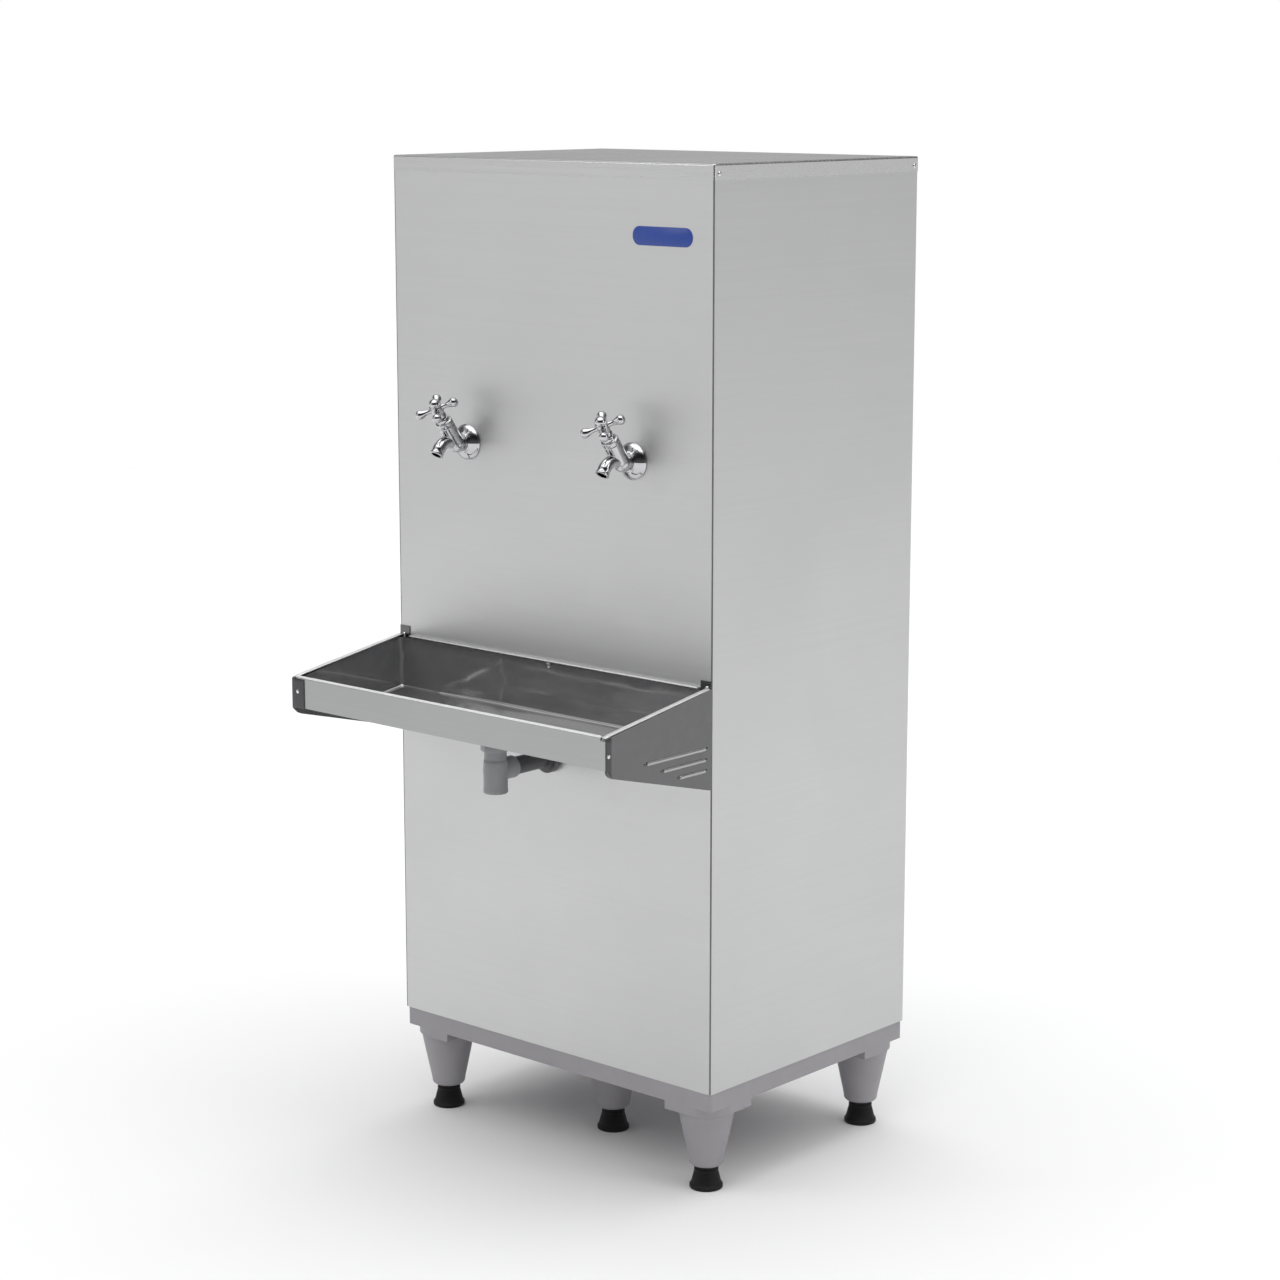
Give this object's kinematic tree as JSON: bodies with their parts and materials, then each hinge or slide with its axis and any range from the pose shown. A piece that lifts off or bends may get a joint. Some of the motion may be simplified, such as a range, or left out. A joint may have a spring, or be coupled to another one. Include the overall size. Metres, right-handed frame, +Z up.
{
  "type": "drinking fountain",
  "caption": "Floor-standing drinking fountain: chilled-water cabinet on tapered legs, with cross-handle taps above a projecting waste tray.",
  "frame": {"origin": "on the floor, at the centre of the outline (bottom centre of the bounding box)", "axes": "+Z up; the front with the taps and the tray faces -Y; +X is to the right of a person facing +Y, that is, looking at the front"},
  "size_m": [0.5956, 0.678, 1.4],
  "materials": {
    "grey_plastic": "matte",
    "black_rubber": "matte",
    "brushed_stainless": "satin",
    "polished_stainless": "polished",
    "stainless_fixing": "polished",
    "galvanised_steel": "matte",
    "pvc_grey": "satin",
    "pvc_dark": "satin",
    "chrome": "polished",
    "brass": "satin",
    "white_hose": "satin",
    "tank_steel": "satin",
    "foam": "matte",
    "white_plastic": "satin",
    "copper": "satin",
    "float_plastic": "satin",
    "black_paint": "satin",
    "black_plastic": "satin",
    "aluminium": "satin"
  },
  "bodies": {
    "cabinet": {"base_frame": "grey_plastic", "leg_front_left": "grey_plastic", "leg_front_right": "grey_plastic", "leg_rear_left": "grey_plastic", "leg_rear_right": "grey_plastic", "leg_middle": "grey_plastic", "top_cap": "brushed_stainless", "front_panel": "brushed_stainless", "side_panel_left": "brushed_stainless", "side_panel_right": "brushed_stainless", "rear_panel_upper": "galvanised_steel", "rear_grille": "galvanised_steel", "cabinet_screws": "stainless_fixing", "tray_basin": "polished_stainless", "tray_front_panel": "brushed_stainless", "tray_side_left": "polished_stainless", "tray_side_right": "polished_stainless", "tray_fixings": "stainless_fixing", "drain_strainer": "polished_stainless", "drain_tee": "pvc_grey", "drain_branch_pipe": "pvc_dark", "tap_left_flange": "chrome", "tap_left_body": "chrome", "tap_left_bonnet": "chrome", "tap_right_flange": "chrome", "tap_right_body": "chrome", "tap_right_bonnet": "chrome", "tap_shank_nuts": "brass", "tap_feed_pipes": "white_hose", "tank_shelf": "galvanised_steel", "water_tank": "tank_steel", "tank_insulation": "foam", "tank_lid": "white_plastic", "evaporator_coil": "copper", "float_valve_body": "brass", "water_inlet": "brass", "compressor": "black_paint", "compressor_grommets": "black_rubber", "terminal_box": "black_plastic", "condenser": "aluminium", "fan_shroud": "galvanised_steel", "fan_motor": "black_paint", "thermostat": "black_plastic", "cord_gland": "black_plastic"},
    "levelling_foot_front_left": {"foot_front_left": "black_rubber"},
    "levelling_foot_front_right": {"foot_front_right": "black_rubber"},
    "levelling_foot_rear_left": {"foot_rear_left": "black_rubber"},
    "levelling_foot_rear_right": {"foot_rear_right": "black_rubber"},
    "levelling_foot_middle": {"foot_middle": "black_rubber"},
    "tap_left_valve": {"tap_left_jumper": "black_rubber"},
    "tap_left_cross": {"tap_left_stem": "brass", "tap_left_handle": "chrome", "tap_left_index_cap": "chrome"},
    "tap_right_valve": {"tap_right_jumper": "black_rubber"},
    "tap_right_cross": {"tap_right_stem": "brass", "tap_right_handle": "chrome", "tap_right_index_cap": "chrome"},
    "float": {"float_arm": "float_plastic"},
    "fan": {"fan_blade": "aluminium"},
    "thermostat_dial": {"thermostat_knob": "black_plastic"}
  },
  "joints": [
    {"name": "levelling_foot_front_left_slide", "type": "slide", "parent": "cabinet", "child": "levelling_foot_front_left", "axis": [0, 0, -1], "range_m": [0, 0.012]},
    {"name": "levelling_foot_front_right_slide", "type": "slide", "parent": "cabinet", "child": "levelling_foot_front_right", "axis": [0, 0, -1], "range_m": [0, 0.012]},
    {"name": "levelling_foot_rear_left_slide", "type": "slide", "parent": "cabinet", "child": "levelling_foot_rear_left", "axis": [0, 0, -1], "range_m": [0, 0.012]},
    {"name": "levelling_foot_rear_right_slide", "type": "slide", "parent": "cabinet", "child": "levelling_foot_rear_right", "axis": [0, 0, -1], "range_m": [0, 0.012]},
    {"name": "levelling_foot_middle_slide", "type": "slide", "parent": "cabinet", "child": "levelling_foot_middle", "axis": [0, 0, -1], "range_m": [0, 0.012]},
    {"name": "tap_left_rise", "type": "slide", "parent": "cabinet", "child": "tap_left_valve", "axis": [0, -0.5736, 0.8192], "range_m": [0, 0.0045]},
    {"name": "tap_left_turn", "type": "hinge", "parent": "tap_left_valve", "child": "tap_left_cross", "pos_m": [-0.155, -0.149, 1.006], "axis": [0, -0.5736, 0.8192], "range_deg": [0, 810]},
    {"name": "tap_right_rise", "type": "slide", "parent": "cabinet", "child": "tap_right_valve", "axis": [0, -0.5736, 0.8192], "range_m": [0, 0.0045]},
    {"name": "tap_right_turn", "type": "hinge", "parent": "tap_right_valve", "child": "tap_right_cross", "pos_m": [0.155, -0.149, 1.006], "axis": [0, -0.5736, 0.8192], "range_deg": [0, 810]},
    {"name": "float_swing", "type": "hinge", "parent": "cabinet", "child": "float", "pos_m": [0, 0.1965, 1.26], "axis": [-1, 0, 0], "range_deg": [0, 24]},
    {"name": "fan_spin", "type": "hinge", "parent": "cabinet", "child": "fan", "pos_m": [0.07, 0.219, 0.32], "axis": [0, 1, 0], "continuous": true},
    {"name": "thermostat_turn", "type": "hinge", "parent": "cabinet", "child": "thermostat_dial", "pos_m": [-0.22, 0.317, 0.5], "axis": [0, 1, 0], "range_deg": [0, 290]}
  ],
  "couplings": [
    {"joint": "tap_left_turn", "follows": "tap_left_rise", "rad_per_m": 3141.6},
    {"joint": "tap_right_turn", "follows": "tap_right_rise", "rad_per_m": 3141.6}
  ]
}
